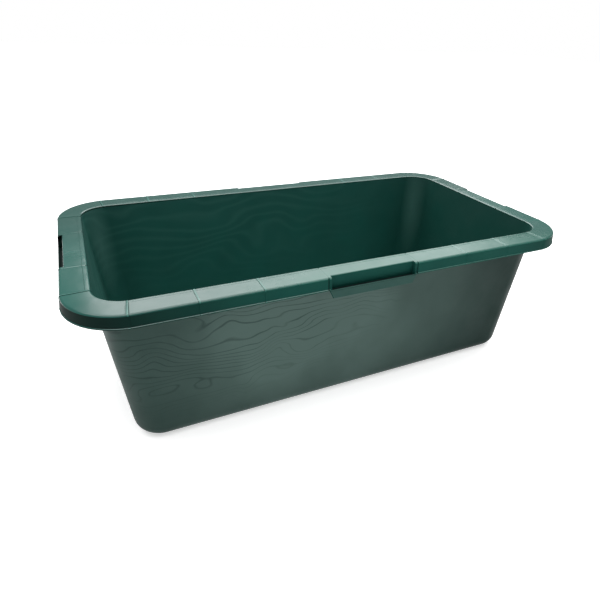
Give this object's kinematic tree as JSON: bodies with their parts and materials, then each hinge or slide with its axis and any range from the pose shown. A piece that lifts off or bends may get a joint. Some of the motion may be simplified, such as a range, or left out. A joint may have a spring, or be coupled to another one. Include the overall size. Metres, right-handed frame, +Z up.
{
  "type": "mortar mixing tub",
  "caption": "Rectangular moulded plastic tub for mixing mortar, with leaning walls, rounded corners, a flat down-turned rim and a recessed hand grip in each side.",
  "frame": {"origin": "middle of the floor's underside", "axes": "+X along the tub's length, -Y the front long side, +Z up"},
  "size_m": [0.855, 0.465, 0.26],
  "materials": {
    "tub_body": "satin injection-moulded polyethylene, bottle green, with faint flow lines",
    "rim": "satin injection-moulded polyethylene, bottle green",
    "rim_ribs": "as-moulded polyethylene, bottle green"
  },
  "bodies": {
    "root": {"back_flange": "rim", "back_floor_bend": "tub_body", "back_grip": "rim", "back_left_flange": "rim", "back_left_floor_bend": "tub_body", "back_left_skirt": "rim", "back_left_wall": "tub_body", "back_right_flange": "rim", "back_right_floor_bend": "tub_body", "back_right_skirt": "rim", "back_right_wall": "tub_body", "back_rim_ribs": "rim_ribs", "back_skirt_left": "rim", "back_skirt_right": "rim", "back_wall": "tub_body", "floor_panel": "tub_body", "front_flange": "rim", "front_floor_bend": "tub_body", "front_grip": "rim", "front_left_flange": "rim", "front_left_floor_bend": "tub_body", "front_left_skirt": "rim", "front_left_wall": "tub_body", "front_right_flange": "rim", "front_right_floor_bend": "tub_body", "front_right_skirt": "rim", "front_right_wall": "tub_body", "front_rim_ribs": "rim_ribs", "front_skirt_left": "rim", "front_skirt_right": "rim", "front_wall": "tub_body", "left_flange": "rim", "left_floor_bend": "tub_body", "left_grip": "rim", "left_rim_ribs": "rim_ribs", "left_skirt_back": "rim", "left_skirt_front": "rim", "left_wall": "tub_body", "right_flange": "rim", "right_floor_bend": "tub_body", "right_grip": "rim", "right_rim_ribs": "rim_ribs", "right_skirt_back": "rim", "right_skirt_front": "rim", "right_wall": "tub_body"}
  },
  "joints": []
}
